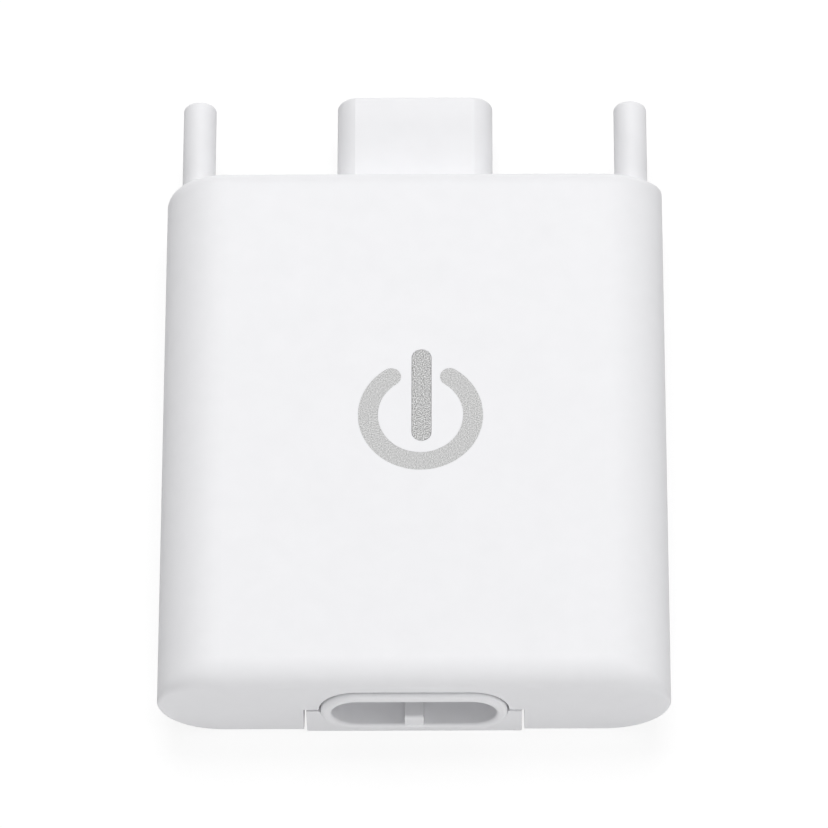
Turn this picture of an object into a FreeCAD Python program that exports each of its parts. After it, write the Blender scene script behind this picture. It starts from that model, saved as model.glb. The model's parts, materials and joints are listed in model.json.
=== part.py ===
"""Touch dimmer module for a low-voltage lighting strip, in millimetres.

A flat rounded housing of two snap-fit shells. The near end (-Y) carries a two-pole socket
with a raised collar, the far end (+Y) a two-pole plug between two round locating pins.
The touch face (+Z) has a ring inlay and a light guide in the shape of a power symbol.
Inside are the circuit board, its components and the touch electrode.
The origin is the middle of the flat back face.
"""

import FreeCAD, Part
import math
import os
import Sketcher

Vector = FreeCAD.Vector
NEAR = 1e-4    # points closer than this lie together

# Driving dimensions: name, value

SIZES = [
    # Housing
    ("housing_wide", 45.0),
    ("housing_long", 52.0),
    ("housing_thick", 10.0),
    ("parting_height", 5.0),        # widest line of the rounded sides, where the shells meet
    ("face_corner", 5.6),           # how far the side curve reaches in from the side, touch face
    ("back_corner", 5.8),           # the same on the back
    # Rounding of the end outlines: at the touch face, at the parting and along the back
    ("near_face_round", 2.2),
    ("near_side_round", 0.3),
    ("far_face_round", 1.9),
    ("far_side_round", 1.7),
    ("back_round", 0.3),
    # Walls
    ("shell_wall", 1.6),
    ("end_wall", 2.0),
    ("shell_gap", 0.1),             # cover to end walls
    ("groove_high", 0.1),           # shadow line between the shells, along both sides
    ("groove_deep", 0.3),
    # Lip along both sides of the joint between the shells
    ("lip_thick", 0.7),
    ("lip_high", 0.7),
    ("lip_long", 42.0),
    ("lip_gap", 0.05),
    # Snap hooks on the cover and the ledges they catch
    ("hook_from_side", 3.4),        # outer face of a hook, in from the housing's side
    ("hook_thick", 1.0),
    ("hook_wide", 4.0),
    ("hook_place", 14.0),
    ("hook_root", 1.3),
    ("barb_reach", 0.7),
    ("barb_high", 0.8),
    ("barb_tip", 0.2),
    ("ledge_low", 5.9),
    ("ledge_thick", 0.7),
    ("ledge_overlap", 0.35),
    ("hook_gap", 0.05),
    # Notches in both end walls, closed by tabs of the cover
    ("connector_height", 3.95),     # middle of socket and plug, above the back
    ("notch_half", 9.69),
    ("slit", 0.24),
    ("slit_break", 0.25),           # corner taken off on both sides of a slit, at the back
    ("tab_gap", 0.08),
    ("tab_proud", 0.12),            # near tab, before the end wall
    ("tab_round", 0.15),
    ("seam_break", 0.15),           # corner taken off where the seams meet the collar
    # Socket
    ("socket_side", 5.02),          # middle of each round end of the socket, from the centre
    ("cavity_radius", 2.21),
    ("collar_wall", 0.97),
    ("collar_proud", 0.5),
    ("collar_round", 0.45),
    ("mouth_round", 0.35),
    ("collar_gap", 0.15),
    ("saddle_gap", 0.03),
    ("cavity_deep", 7.2),
    ("socket_back", 1.3),
    # Key rib on the floor of the socket, and its keyway in the plug
    ("key_wide", 1.67),
    ("key_high", 1.25),
    ("key_setback", 0.15),          # behind the mouth
    ("key_round", 0.35),
    ("key_gap", 0.15),
    # Plug
    ("plug_half", 7.1),
    ("plug_side_radius", 2.1),
    ("plug_half_thick", 2.05),
    ("plug_reach", 9.92),
    ("plug_root", 7.0),
    ("plug_edge_round", 0.3),
    ("plug_gap", 0.05),
    # Ears that hold socket and plug behind the end walls, and the ribs behind the ears
    ("ear_half", 9.9),
    ("ear_half_high", 1.8),
    ("ear_thick", 1.5),
    ("ear_gap", 0.05),
    ("rib_inner", 8.6),
    ("rib_outer", 10.4),
    ("rib_thick", 1.0),
    ("rib_low", 2.6),
    # Locating pins
    ("pin_radius", 1.5),
    ("pin_side", 19.7),
    ("pin_reach", 9.2),
    ("pin_round", 0.4),
    # Contacts of socket and plug
    ("contact_side", 3.9),
    ("contact_radius", 0.5),
    ("contact_nose", 0.3),
    ("contact_recess", 4.8),        # tip of a socket contact, behind the mouth
    ("contact_gap", 0.05),
    ("tail_overlap", 1.3),          # tail of a contact, over the board's edge
    ("shoulder_radius", 0.9),
    ("shoulder_thick", 0.5),
    ("tube_radius", 0.85),
    ("tube_bore", 0.56),
    ("tube_recess", 0.6),
    ("tube_deep", 6.0),
    ("entry_radius", 0.7),
    # Circuit board, its pegs on the cover and the posts that clamp it
    ("board_thick", 1.0),
    ("board_half_wide", 17.0),
    ("board_end_room", 10.6),       # board to the outside of each end
    ("board_corner", 1.5),
    ("peg_side", 14.5),
    ("peg_inset", 3.4),             # from the board's end
    ("peg_radius", 1.0),
    ("peg_high", 1.0),              # above the board
    ("peg_gap", 0.12),
    ("post_radius", 1.9),
    ("post_gap", 0.05),
    # Power symbol
    ("symbol_x", 0.58),
    ("symbol_y", 0.23),
    ("ring_radius", 4.67),          # middle of the stroke
    ("ring_half_stroke", 0.875),
    ("ring_gap_angle", 34.0),       # cap of the ring, off the symbol's axis
    ("inlay_deep", 0.2),
    ("bar_x", 0.67),
    ("bar_y", 2.25),
    ("bar_half_wide", 0.845),
    ("bar_half_long", 4.62),
    # Light guide below the bar
    ("guide_gap", 0.03),
    ("flange_margin", 0.6),
    ("flange_thick", 0.6),
    ("stem_half_wide", 1.1),
    ("stem_half_long", 1.5),
    ("lamp_gap", 0.3),
    # Touch electrode and its contact spring
    ("electrode_radius", 8.5),
    ("electrode_thick", 0.1),
    ("electrode_gap", 0.3),
    ("strip_thick", 0.2),
    ("strip_wide", 1.6),
    ("strip_left", 4.4),
    ("strip_foot", 4.2),
    ("strip_top", 1.8),
    ("strip_arm", 0.25),
    # Components on the board
    ("terminal_proud", 0.05),
    ("lamp_half_long", 1.75),
    ("lamp_half_wide", 1.4),
    ("lamp_high", 1.9),
    ("lamp_window", 1.15),
    ("lamp_window_deep", 0.5),
    ("lamp_terminal", 0.6),
    ("resistor_half_long", 1.0),
    ("resistor_half_wide", 0.625),
    ("resistor_high", 0.5),
    ("resistor_terminal", 0.4),
    ("capacitor_half_long", 1.6),
    ("capacitor_half_wide", 0.8),
    ("capacitor_high", 1.2),
    ("capacitor_terminal", 0.5),
    ("diode_half_long", 2.2),
    ("diode_half_wide", 1.3),
    ("diode_high", 2.1),
    ("diode_terminal", 0.7),
    ("can_radius", 2.0),
    ("can_high", 4.3),
    ("can_base_half", 2.15),
    ("can_base_high", 0.7),
    ("can_base_corner", 0.9),
    ("can_groove", 0.25),
    ("can_edge", 0.3),
    ("chip_half_wide", 1.95),
    ("chip_half_long", 2.45),
    ("chip_high", 1.5),
    ("chip_standoff", 0.1),
    ("chip_pitch", 1.27),
    ("leg_count", 4),               # along one side
    ("leg_half", 0.2),
    ("leg_thick", 0.2),
    ("leg_reach", 1.05),
    ("leg_foot", 0.6),
    ("leg_shoulder", 0.75),
    ("transistor_half_wide", 3.3),
    ("transistor_half_long", 3.05),
    ("transistor_high", 2.3),
    ("regulator_half_wide", 2.25),
    ("regulator_half_long", 1.25),
    ("regulator_high", 1.5),
    ("power_leg_half", 0.35),
    ("power_leg_thick", 0.5),
    ("power_pitch", 1.5),
    ("power_leg_reach", 2.0),
    ("power_tab_reach", 1.0),
    ("power_tab_inset", 0.6),
    # Places of the components, from the housing's middle or from the board's near end
    ("regulator_x", -9.5),
    ("regulator_inset", 7.9),
    ("transistor_x", 9.0),
    ("transistor_shift", 1.2),      # beyond the middle of the board's near half
    ("chip_x", -8.5),
    ("chip_y", 2.5),
    ("diode_x", 0.0),
    ("diode_y", -9.3),
    ("can_x", 9.8),
    ("can_y", 8.6),
    ("input_capacitor_x", -9.5),
    ("input_capacitor_inset", 2.8),
    ("sensor_capacitor_x", -8.5),
    ("sensor_capacitor_y", 7.6),
    ("lamp_resistor_x", 0.7),
    ("lamp_resistor_y", 9.4),
    ("gate_resistor_x", 3.7),
    ("gate_resistor_y", -6.2),
    ("sensor_resistor_x", -3.9),
    ("sensor_resistor_y", 9.4),
]

# Sizes that follow from the driving ones

DERIVED = [
    ("half_wide", "housing_wide / 2"),
    ("half_long", "housing_long / 2"),
    ("inner_half", "housing_wide / 2 - shell_wall"),
    ("inner_long", "housing_long / 2 - end_wall"),
    ("ceiling", "housing_thick - shell_wall"),
    ("board_top", "connector_height - contact_radius"),
    ("board_low", "board_top - board_thick"),
    ("collar_radius", "cavity_radius + collar_wall"),
    ("cap_reach", "ring_radius * sin(ring_gap_angle * 1 deg)"),
    ("bar_end", "bar_half_long - bar_half_wide"),
    ("lip_half", "lip_long / 2"),
    ("hook_half", "hook_wide / 2"),
    ("key_half", "key_wide / 2"),
    ("strip_half", "strip_wide / 2"),
    ("leg_row", "(leg_count - 1) * chip_pitch"),
    ("first_leg", "-leg_row / 2"),
    ("board_half_long", "housing_long / 2 - board_end_room"),
    ("peg_place", "board_half_long - peg_inset"),
    ("regulator_y", "regulator_inset - board_half_long"),
    ("transistor_y", "transistor_shift - board_half_long / 2"),
    ("input_capacitor_y", "input_capacitor_inset - board_half_long"),
]

doc = FreeCAD.newDocument("touch_dimmer")
sheet = doc.addObject("Spreadsheet::Sheet", "sizes")


def fill_sheet():
    """One row per size: name, value. The name is also the alias of the value's cell."""
    for row, (name, value) in enumerate(SIZES, start=1):
        sheet.set("A%d" % row, name)
        sheet.set("B%d" % row, str(value))
        sheet.setAlias("B%d" % row, name)
    for row, (name, rule) in enumerate(DERIVED, start=len(SIZES) + 1):
        sheet.set("A%d" % row, name)
        sheet.set("B%d" % row, "=" + rule)
        sheet.setAlias("B%d" % row, name)
    doc.recompute()


# Text such as "half_wide - slit" stands for a size; a sum of names and plain numbers

def number(text):
    """The value of a sum of sizes, now."""
    total = 0.0
    sign = 1.0
    for word in text.split():
        if word in ("+", "-"):
            sign = 1.0 if word == "+" else -1.0
            continue
        total += sign * (sheet.get(word) if word[0].isalpha() else float(word))
        sign = 1.0
    return total


def formula(text):
    """The same sum as an expression bound to the sheet."""
    return " ".join("sizes." + word if word[0].isalpha() else word for word in text.split())


def minus(text):
    """The same sum with every sign turned, for the mirrored side."""
    words = text.split()
    if words[0] not in ("+", "-"):
        words.insert(0, "+")
    turned = [{"+": "-", "-": "+"}.get(word, word) for word in words]
    return " ".join(turned[1:] if turned[0] == "+" else turned)


# Bodies, sketches and features

def new_body(name, base=None):
    body = doc.addObject("PartDesign::Body", name)
    body.Label = name
    if base is not None:
        body.BaseFeature = base
        doc.recompute()
    return body


def sketch_on(body, role, offset="0"):
    """A sketch on one of the body's own planes. XZ sketches are moved to y = offset."""
    sketch = body.newObject("Sketcher::SketchObject", body.Name + "_outline")
    plane = [item for item in body.Origin.OriginFeatures if item.Role == role][0]
    sketch.AttachmentSupport = [(plane, "")]
    sketch.MapMode = "FlatFace"
    height = minus(offset) if role == "XZ_Plane" else offset
    sketch.setExpression("AttachmentOffset.Base.z", formula(height))
    return sketch


def pad(body, sketch, length, toward_minus=False):
    """Material from the sketch along +Z or +Y, or the other way."""
    feature = body.newObject("PartDesign::Pad", body.Name + "_pad")
    feature.Profile = sketch
    feature.setExpression("Length", formula(length))
    on_xz = "XZ" in sketch.AttachmentSupport[0][0].Role
    feature.Reversed = on_xz != toward_minus
    doc.recompute()
    return feature


def pocket(body, sketch, length, toward_minus=False):
    """The sketch cut along +Z or +Y, or the other way."""
    feature = body.newObject("PartDesign::Pocket", body.Name + "_pocket")
    feature.Profile = sketch
    feature.setExpression("Length", formula(length))
    on_xz = "XZ" in sketch.AttachmentSupport[0][0].Role
    feature.Reversed = on_xz == toward_minus
    doc.recompute()
    return feature


def edges_where(shape, test):
    """Names of the edges whose ends and middle all pass the test."""
    names = []
    for count, edge in enumerate(shape.Edges, start=1):
        first, last = edge.ParameterRange
        spots = [edge.valueAt(first), edge.valueAt((first + last) / 2), edge.valueAt(last)]
        if all(test(spot) for spot in spots):
            names.append("Edge%d" % count)
    return names


def round_edges(body, radius, test):
    base = body.Tip
    feature = body.newObject("PartDesign::Fillet", body.Name + "_round")
    feature.Base = (base, edges_where(base.Shape, test))
    feature.setExpression("Radius", formula(radius))
    doc.recompute()


def revolve(body, sketch):
    """The sketch turned about its own upright axis."""
    feature = body.newObject("PartDesign::Revolution", body.Name + "_turned")
    feature.Profile = sketch
    feature.ReferenceAxis = (sketch, ["V_Axis"])
    feature.Angle = 360.0
    doc.recompute()


def place(body, across, along, height):
    for axis, text in (("x", across), ("y", along), ("z", height)):
        body.setExpression("Placement.Base." + axis, formula(text))


# Outlines in sketches. Every place in them is bound to the sheet.

def fix(sketch, piece, point, across=None, up=None):
    """Binds one point's distances from the sketch's origin."""
    for kind, text in (("DistanceX", across), ("DistanceY", up)):
        if text is not None:
            row = sketch.addConstraint(Sketcher.Constraint(kind, -1, 1, piece, point, number(text)))
            sketch.setExpression("Constraints[%d]" % row, formula(text))


def fix_radius(sketch, piece, text):
    row = sketch.addConstraint(Sketcher.Constraint("Radius", piece, number(text)))
    sketch.setExpression("Constraints[%d]" % row, formula(text))


def spot(across, up):
    return Vector(number(across), number(up), 0)


def polygon(sketch, points):
    """A closed outline of straight lines through points given as (across, up)."""
    first = sketch.GeometryCount
    count = len(points)
    for step in range(count):
        start, end = points[step], points[(step + 1) % count]
        sketch.addGeometry(Part.LineSegment(spot(*start), spot(*end)), False)
    for step in range(count):
        following = first + (step + 1) % count
        sketch.addConstraint(Sketcher.Constraint("Coincident", first + step, 2, following, 1))
        fix(sketch, first + step, 1, *points[step])


def rectangle(sketch, left, right, low, high):
    polygon(sketch, [(left, low), (right, low), (right, high), (left, high)])


def both_sides(sketch, points):
    """A closed outline and its mirror image about the sketch's upright axis."""
    polygon(sketch, points)
    polygon(sketch, [(minus(across), up) for across, up in points])


def circle(sketch, across, up, radius):
    ring = Part.Circle(spot(across, up), Vector(0, 0, 1), number(radius))
    piece = sketch.addGeometry(ring, False)
    fix(sketch, piece, 3, across, up)
    fix_radius(sketch, piece, radius)


def stadium(sketch, first, second, radius):
    """Two round ends about the points first and second, joined by straight lines."""
    start, end, reach = spot(*first), spot(*second), number(radius)
    turn = math.atan2(end.y - start.y, end.x - start.x)
    side = Vector(-math.sin(turn), math.cos(turn), 0) * reach
    up = Vector(0, 0, 1)
    quarter = math.pi / 2
    near_end = Part.ArcOfCircle(Part.Circle(start, up, reach), turn + quarter, turn + 3 * quarter)
    far_end = Part.ArcOfCircle(Part.Circle(end, up, reach), turn - quarter, turn + quarter)
    near = sketch.addGeometry(near_end, False)
    far = sketch.addGeometry(far_end, False)
    lower = sketch.addGeometry(Part.LineSegment(start - side, end - side), False)
    upper = sketch.addGeometry(Part.LineSegment(end + side, start + side), False)
    joints = [(near, 2, lower, 1), (lower, 2, far, 1), (far, 2, upper, 1), (upper, 2, near, 1)]
    for joint in joints:
        sketch.addConstraint(Sketcher.Constraint("Tangent", *joint))
    sketch.addConstraint(Sketcher.Constraint("Equal", near, far))
    fix(sketch, near, 3, *first)
    fix(sketch, far, 3, *second)
    fix_radius(sketch, near, radius)


def flat_slot(sketch, side, middle, radius, half_thick):
    """Two flats joined by arcs about (side, middle) and its mirror image, with a crease between."""
    reach, rise = number(radius), number(half_thick)
    tilt = math.asin(rise / reach)
    up = Vector(0, 0, 1)
    right_centre = spot(side, middle)
    left_centre = spot(minus(side), middle)
    right_arc = Part.ArcOfCircle(Part.Circle(right_centre, up, reach), -tilt, tilt)
    left_arc = Part.ArcOfCircle(Part.Circle(left_centre, up, reach), math.pi - tilt, math.pi + tilt)
    right = sketch.addGeometry(right_arc, False)
    left = sketch.addGeometry(left_arc, False)
    ends = [sketch.getPoint(right, 2), sketch.getPoint(left, 1)]
    upper = sketch.addGeometry(Part.LineSegment(*ends), False)
    ends = [sketch.getPoint(left, 2), sketch.getPoint(right, 1)]
    lower = sketch.addGeometry(Part.LineSegment(*ends), False)
    joints = [(right, 2, upper, 1), (upper, 2, left, 1), (left, 2, lower, 1), (lower, 2, right, 1)]
    for joint in joints:
        sketch.addConstraint(Sketcher.Constraint("Coincident", *joint))
    fix(sketch, right, 3, side, middle)
    fix(sketch, left, 3, minus(side), middle)
    fix_radius(sketch, right, radius)
    fix_radius(sketch, left, radius)
    for point in (1, 2):
        fix(sketch, upper, point, up=middle + " + " + half_thick)
        fix(sketch, lower, point, up=middle + " " + minus_term(half_thick))


def minus_term(text):
    """The sum with its signs turned, ready to follow another term."""
    turned = minus(text)
    return turned if turned[0] == "-" else "+ " + turned


def elliptic_corner(sketch, centre, side, flat):
    """A quarter of an ellipse about centre, from x = side on its level to z = flat above it.

    Returns the arc and the numbers of its points at the side and at the flat."""
    middle = spot(*centre)
    side_end = spot(side, centre[1])
    flat_end = spot(centre[0], flat)
    wide_one = (side_end - middle).Length >= (flat_end - middle).Length
    far, near = (side_end, flat_end) if wide_one else (flat_end, side_end)
    ellipse = Part.Ellipse(far, near, middle)
    start, end = ellipse.parameter(side_end), ellipse.parameter(flat_end)
    full = 2 * math.pi
    if (end - start) % full > math.pi:
        start, end = end, start
    arc_shape = Part.ArcOfEllipse(ellipse, start, start + (end - start) % full)
    arc = sketch.addGeometry(arc_shape, False)
    sketch.exposeInternalGeometry(arc)
    long_axis, short_axis = arc + 1, arc + 2
    side_axis, flat_axis = (long_axis, short_axis) if wide_one else (short_axis, long_axis)
    fix(sketch, arc, 3, *centre)
    sketch.addConstraint(Sketcher.Constraint("Horizontal", side_axis))
    fix(sketch, side_axis, end_near(sketch, side_axis, side_end), across=side)
    fix(sketch, flat_axis, end_near(sketch, flat_axis, flat_end), up=flat)
    side_point = end_near(sketch, arc, side_end)
    flat_point = end_near(sketch, arc, flat_end)
    sketch.addConstraint(Sketcher.Constraint("PointOnObject", arc, side_point, side_axis))
    sketch.addConstraint(Sketcher.Constraint("PointOnObject", arc, flat_point, flat_axis))
    return arc, side_point, flat_point


def end_near(sketch, piece, target):
    """1 or 2, for the end of the line or arc that lies at the target."""
    first = sketch.getPoint(piece, 1) - target
    second = sketch.getPoint(piece, 2) - target
    return 1 if first.Length < second.Length else 2


def half_section(sketch, half, level, flat, corner):
    """One half of the rounded section: curved sides from the level to the flat."""
    reach = minus_term(corner)
    right = elliptic_corner(sketch, (half + " " + reach, level), half, flat)
    left = elliptic_corner(sketch, (minus(half + " " + reach), level), minus(half), flat)
    for place_on_arc in (1, 2):
        start = sketch.getPoint(right[0], right[place_on_arc])
        end = sketch.getPoint(left[0], left[place_on_arc])
        line = sketch.addGeometry(Part.LineSegment(start, end), False)
        for point, arc in ((1, right), (2, left)):
            joint = (line, point, arc[0], arc[place_on_arc])
            sketch.addConstraint(Sketcher.Constraint("Coincident", *joint))


def symbol_ring(sketch):
    """The open ring of the power symbol: a thick arc with round ends, open toward +Y."""
    middle = spot("symbol_x", "symbol_y")
    mean, half = number("ring_radius"), number("ring_half_stroke")
    gap = math.radians(number("ring_gap_angle"))
    start, end = math.pi / 2 + gap, math.pi / 2 - gap + 2 * math.pi
    up = Vector(0, 0, 1)
    quarter = math.pi / 2

    def arc(centre, radius, first, last):
        shape = Part.ArcOfCircle(Part.Circle(centre, up, radius), first, last)
        return sketch.addGeometry(shape, False)

    def on_ring(angle):
        return middle + Vector(math.cos(angle), math.sin(angle), 0) * mean

    outer = arc(middle, mean + half, start, end)
    inner = arc(middle, mean - half, start, end)
    last_cap = arc(on_ring(end), half, end, end + 2 * quarter)
    first_cap = arc(on_ring(start), half, start + 2 * quarter, start + 4 * quarter)
    sketch.addConstraint(Sketcher.Constraint("Coincident", outer, 3, inner, 3))
    for joint in ((outer, 2, last_cap, 1), (last_cap, 2, inner, 2),
                  (inner, 1, first_cap, 1), (first_cap, 2, outer, 1)):
        sketch.addConstraint(Sketcher.Constraint("Tangent", *joint))
    fix(sketch, outer, 3, "symbol_x", "symbol_y")
    fix_radius(sketch, outer, "ring_radius + ring_half_stroke")
    fix_radius(sketch, inner, "ring_radius - ring_half_stroke")
    fix(sketch, last_cap, 3, across="symbol_x + cap_reach")
    fix(sketch, first_cap, 3, across="symbol_x - cap_reach")


def symbol_bar(sketch, margin="0"):
    """The bar of the power symbol, or a wider outline around it."""
    ends = [("bar_x", "bar_y - bar_end"), ("bar_x", "bar_y + bar_end")]
    stadium(sketch, *ends, "bar_half_wide + " + margin)


def socket_outline(sketch, radius):
    ends = [("- socket_side", "connector_height"), ("socket_side", "connector_height")]
    stadium(sketch, *ends, radius)


def plug_outline(sketch, margin):
    flat_slot(sketch, "plug_half - plug_side_radius", "connector_height",
              "plug_side_radius + " + margin, "plug_half_thick + " + margin)


# Housing

def housing_form():
    """The outside of the closed housing, which both shells are cut from."""
    body = new_body("housing_form")
    back = sketch_on(body, "XZ_Plane", "- half_long")
    half_section(back, "half_wide", "parting_height", "0", "back_corner")
    pad(body, back, "housing_long")
    face = sketch_on(body, "XZ_Plane", "- half_long")
    half_section(face, "half_wide", "parting_height", "housing_thick", "face_corner")
    pad(body, face, "housing_long")
    form = doc.addObject("Part::Fillet", "rounded_form")
    form.Base = body
    form.Edges = end_rounds(body.Shape)
    doc.recompute()
    return form


def end_rounds(shape):
    """Radii along both end outlines, changing between touch face, parting and back.

    The highest edges come first, so that each outline is rounded from the face down."""
    end, face, parting = number("half_long"), number("housing_thick"), number("parting_height")

    def radius_at(point):
        if point.z < parting - NEAR:
            return number("back_round")
        side = "near" if point.y < 0 else "far"
        height = "face" if point.z > face - NEAR else "side"
        return number(side + "_" + height + "_round")

    rounds = []
    for count, edge in enumerate(shape.Edges, start=1):
        points = [vertex.Point for vertex in edge.Vertexes]
        on_end = all(abs(abs(point.y) - end) < NEAR for point in points)
        if on_end and abs(points[0].y - points[-1].y) < NEAR:
            rounds.append((-edge.CenterOfMass.z, count, [radius_at(point) for point in points]))
    return [(count, radii[0], radii[1]) for _, count, radii in sorted(rounds)]


def front_shell(form):
    """Touch face, upper sides, both end walls and the locating pins, moulded as one."""
    body = new_body("front_shell", form)
    below = sketch_on(body, "XY_Plane")
    rectangle(below, "- housing_wide", "housing_wide", "- inner_long", "inner_long")
    pocket(body, below, "parting_height")
    hollow = sketch_on(body, "XZ_Plane", "- inner_long")
    half_section(hollow, "inner_half", "parting_height", "ceiling", "face_corner - shell_wall")
    pocket(body, hollow, "inner_long + inner_long")
    lip_seat(body)
    connector_notches(body)
    symbol_recesses(body)
    hook_ledges(body)
    board_posts(body)
    ear_ribs(body)
    locating_pins(body)


def lip_seat(body):
    """A step along the inside of each side, for the cover's lip."""
    sketch = sketch_on(body, "XZ_Plane", "- lip_half - lip_gap")
    outer = "inner_half + lip_thick + lip_gap"
    inner = "inner_half - lip_thick"
    top = "parting_height + lip_high + lip_gap"
    bottom = "parting_height"
    both_sides(sketch, [(inner, bottom), (outer, bottom), (outer, top), (inner, top)])
    pocket(body, sketch, "lip_long + lip_gap + lip_gap")


def connector_notches(body):
    """Notches open to the back in both end walls, and the arches over socket and plug."""
    for start in ("- half_long", "inner_long"):
        notch = sketch_on(body, "XZ_Plane", start)
        corner = "notch_half + slit_break"
        polygon(notch, [(minus(corner), "- end_wall"), (corner, "- end_wall"), (corner, "0"),
                        ("notch_half", "slit_break"), ("notch_half", "connector_height"),
                        ("- notch_half", "connector_height"), ("- notch_half", "slit_break"),
                        (minus(corner), "0")])
        pocket(body, notch, "end_wall")
    arch = sketch_on(body, "XZ_Plane", "- half_long")
    socket_outline(arch, "collar_radius + collar_gap")
    pocket(body, arch, "end_wall")
    broken = sketch_on(body, "XZ_Plane", "- half_long")
    side, level = "socket_side + collar_radius", "connector_height"
    reach = " + collar_gap + seam_break"
    both_sides(broken, [(side, level), (side + reach, level), (side, level + reach)])
    pocket(body, broken, "end_wall")
    hole = sketch_on(body, "XZ_Plane", "inner_long")
    plug_outline(hole, "plug_gap")
    pocket(body, hole, "end_wall")


def symbol_recesses(body):
    """A shallow recess for the ring and a slot for the light guide."""
    recess = sketch_on(body, "XY_Plane", "housing_thick - inlay_deep")
    symbol_ring(recess)
    pocket(body, recess, "inlay_deep")
    slot = sketch_on(body, "XY_Plane", "ceiling")
    symbol_bar(slot, "guide_gap")
    pocket(body, slot, "shell_wall")


def hook_ledges(body):
    """Ledges inside the sides, caught by the cover's hooks."""
    inner = "half_wide - hook_from_side + barb_reach - ledge_overlap"
    low, high = "ledge_low", "ledge_low + ledge_thick"
    for start in ("- hook_place - hook_half", "hook_place - hook_half"):
        sketch = sketch_on(body, "XZ_Plane", start)
        both_sides(sketch, [(inner, low), ("inner_half", low), ("inner_half", high), (inner, high)])
        pad(body, sketch, "hook_wide")


def board_posts(body):
    """Hollow posts from the ceiling that clamp the board over the cover's pegs."""
    sketch = sketch_on(body, "XY_Plane", "board_top + post_gap")
    for across in ("- peg_side", "peg_side"):
        for along in ("- peg_place", "peg_place"):
            circle(sketch, across, along, "post_radius")
            circle(sketch, across, along, "peg_radius + peg_gap")
    pad(body, sketch, "ceiling - board_top - post_gap")


def ear_ribs(body):
    """Ribs from the ceiling, behind the ears of socket and plug."""
    behind_ear = "inner_long - shell_gap - ear_gap - ear_thick - ear_gap"
    for start in (minus(behind_ear), behind_ear + " - rib_thick"):
        sketch = sketch_on(body, "XZ_Plane", start)
        both_sides(sketch, [("rib_inner", "rib_low"), ("rib_outer", "rib_low"),
                            ("rib_outer", "ceiling"), ("rib_inner", "ceiling")])
        pad(body, sketch, "rib_thick")


def locating_pins(body):
    """Round pins out of the far end wall, whose rounded sides they run into."""
    sketch = sketch_on(body, "XZ_Plane", "inner_long")
    circle(sketch, "- pin_side", "parting_height", "pin_radius")
    circle(sketch, "pin_side", "parting_height", "pin_radius")
    pad(body, sketch, "end_wall + pin_reach")
    tip = number("half_long + pin_reach")
    round_edges(body, "pin_round", lambda point: abs(point.y - tip) < NEAR)


def back_cover(form):
    """Back, lower sides and the two tabs that close the notches of the end walls."""
    body = new_body("back_cover", form)
    above = sketch_on(body, "XY_Plane", "parting_height")
    rectangle(above, "- housing_wide", "housing_wide", "- housing_long", "housing_long")
    pocket(body, above, "housing_thick")
    ends = sketch_on(body, "XY_Plane")
    tab, beyond = "notch_half - slit", "housing_wide"
    inside, outside = "inner_long - shell_gap", "housing_long"
    both_sides(ends, [(tab, inside), (beyond, inside), (beyond, outside), (tab, outside)])
    inside, outside = minus(inside), minus(outside)
    both_sides(ends, [(tab, inside), (beyond, inside), (beyond, outside), (tab, outside)])
    pocket(body, ends, "housing_thick")
    hollow = sketch_on(body, "XZ_Plane", "- inner_long + shell_gap")
    half_section(hollow, "inner_half", "parting_height", "shell_wall", "back_corner - shell_wall")
    pocket(body, hollow, "inner_long + inner_long - shell_gap - shell_gap")
    shadow_line(body)
    near_tab(body)
    tab_edges(body)
    saddles(body)
    cover_lips(body)
    snap_hooks(body)
    board_pegs(body)


def shadow_line(body):
    """A narrow groove under the edge of the front shell, along both sides."""
    sketch = sketch_on(body, "XZ_Plane", "- half_long")
    inner, outer = "half_wide - groove_deep", "housing_wide"
    low, high = "parting_height - groove_high", "parting_height"
    both_sides(sketch, [(inner, low), (outer, low), (outer, high), (inner, high)])
    pocket(body, sketch, "housing_long")


def near_tab(body):
    """The tab under the socket stands a little before the end wall."""
    front = "- half_long - tab_proud"
    sketch = sketch_on(body, "XZ_Plane", front)
    rectangle(sketch, "slit - notch_half", "notch_half - slit", "0", "connector_height - tab_gap")
    pad(body, sketch, "end_wall + tab_proud")
    edge = number(front)
    round_edges(body, "tab_round", lambda point: abs(point.y - edge) < NEAR and abs(point.z) < NEAR)


def tab_edges(body):
    """The tabs end just under the middle of socket and plug; their lower corners are broken."""
    for start in ("- half_long - tab_proud", "inner_long - shell_gap"):
        sketch = sketch_on(body, "XZ_Plane", start)
        top = "connector_height - tab_gap"
        rectangle(sketch, "- notch_half", "notch_half", top, "housing_thick")
        both_sides(sketch, [("notch_half - slit - slit_break - slit", "- slit"),
                            ("notch_half", "- slit"), ("notch_half", "slit_break + slit")])
        pocket(body, sketch, "end_wall + shell_gap + tab_proud")


def saddles(body):
    """Hollows in tabs and floor that socket and plug lie in."""
    front = "- half_long - tab_proud"
    under_socket = sketch_on(body, "XZ_Plane", front)
    socket_outline(under_socket, "collar_radius + saddle_gap")
    behind = "cavity_deep + socket_back - collar_proud + saddle_gap"
    pocket(body, under_socket, "tab_proud + " + behind)
    broken = sketch_on(body, "XZ_Plane", front)
    side, level = "socket_side + collar_radius", "connector_height"
    both_sides(broken, [(side, level), (side + " + saddle_gap + seam_break", level),
                        (side, level + " - saddle_gap - seam_break")])
    pocket(body, broken, "tab_proud + end_wall + shell_gap")
    under_plug = sketch_on(body, "XZ_Plane", "inner_long - shell_gap")
    plug_outline(under_plug, "saddle_gap")
    pocket(body, under_plug, "end_wall + shell_gap")


def cover_lips(body):
    sketch = sketch_on(body, "XZ_Plane", "- lip_half")
    outer = "inner_half + lip_thick"
    top = "parting_height + lip_high"
    both_sides(sketch, [("inner_half", "parting_height"), (outer, "parting_height"),
                        (outer, top), ("inner_half", top)])
    pad(body, sketch, "lip_long")


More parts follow.
